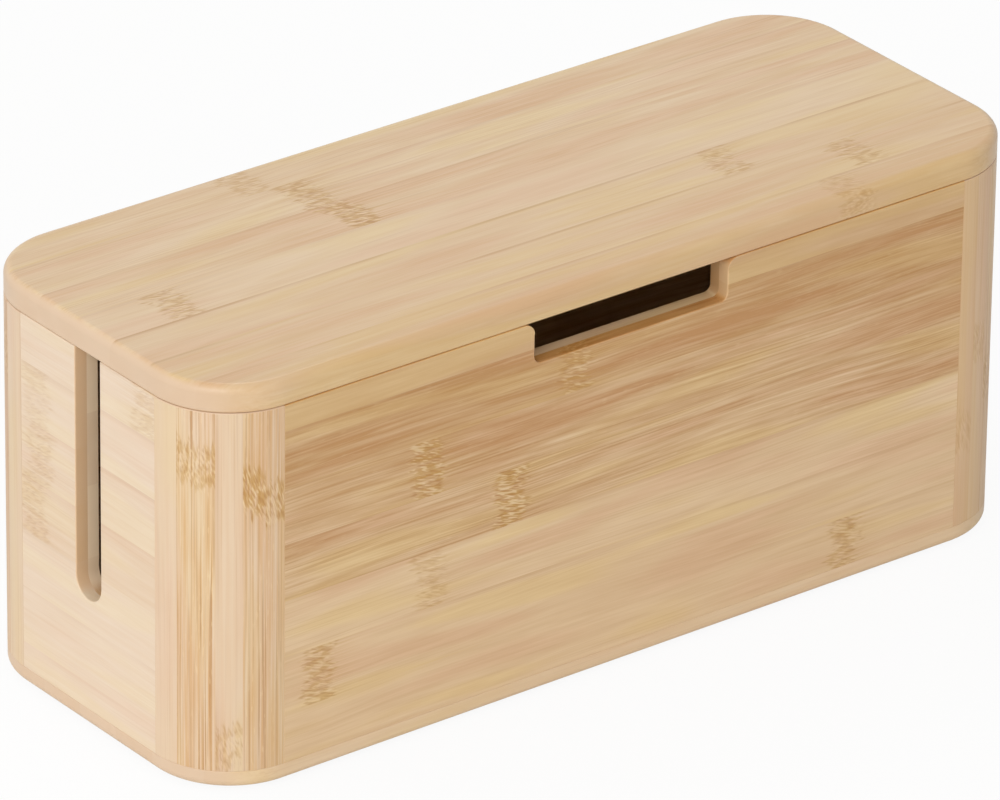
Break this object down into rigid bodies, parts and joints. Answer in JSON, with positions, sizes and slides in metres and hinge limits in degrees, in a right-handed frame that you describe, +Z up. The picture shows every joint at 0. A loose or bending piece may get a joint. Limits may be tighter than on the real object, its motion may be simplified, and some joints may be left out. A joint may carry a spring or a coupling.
{
  "type": "cable management box",
  "caption": "Long bamboo box with rounded corner posts, a flush lift-off lid, a wide notch in the front wall and a tall cable slot in each end.",
  "frame": {"origin": "under the middle of the box, on the surface its feet stand on", "axes": "+X along the length, -Y through the notched front wall, +Z up the way the lid lifts"},
  "size_m": [0.32, 0.126, 0.1385],
  "materials": {
    "lid_bamboo": "flat-pressed bamboo board, satin clear lacquer",
    "cleat_bamboo": "sawn and sanded bamboo strip",
    "wall_bamboo": "flat-pressed bamboo with long grain, satin clear lacquer",
    "end_bamboo": "pale flat-pressed bamboo, satin clear lacquer",
    "inner_bamboo": "sanded bamboo ply",
    "post_bamboo": "edge-pressed bamboo with upright grain, satin clear lacquer",
    "base_bamboo": "flat-pressed bamboo board, satin clear lacquer",
    "screw_steel": "zinc-plated steel",
    "foot_rubber": "matt anti-slip rubber"
  },
  "bodies": {
    "box": {"front_outer_ply": "wall_bamboo", "front_inner_ply": "inner_bamboo", "back_outer_ply": "wall_bamboo", "back_inner_ply": "inner_bamboo", "left_end_outer_ply": "end_bamboo", "left_end_inner_ply": "inner_bamboo", "right_end_outer_ply": "end_bamboo", "right_end_inner_ply": "inner_bamboo", "post_front_left": "post_bamboo", "post_front_right": "post_bamboo", "post_back_left": "post_bamboo", "post_back_right": "post_bamboo", "base_board": "base_bamboo", "base_screws": "screw_steel", "foot_front_left": "foot_rubber", "foot_front_right": "foot_rubber", "foot_back_left": "foot_rubber", "foot_back_right": "foot_rubber"},
    "lid": {"lid_board": "lid_bamboo", "lid_cleat_left": "cleat_bamboo", "lid_cleat_right": "cleat_bamboo"}
  },
  "joints": [
    {"name": "lid_lift", "type": "slide", "parent": "box", "child": "lid", "axis": [0, 0, 1], "range_m": [0, 0.15]}
  ]
}
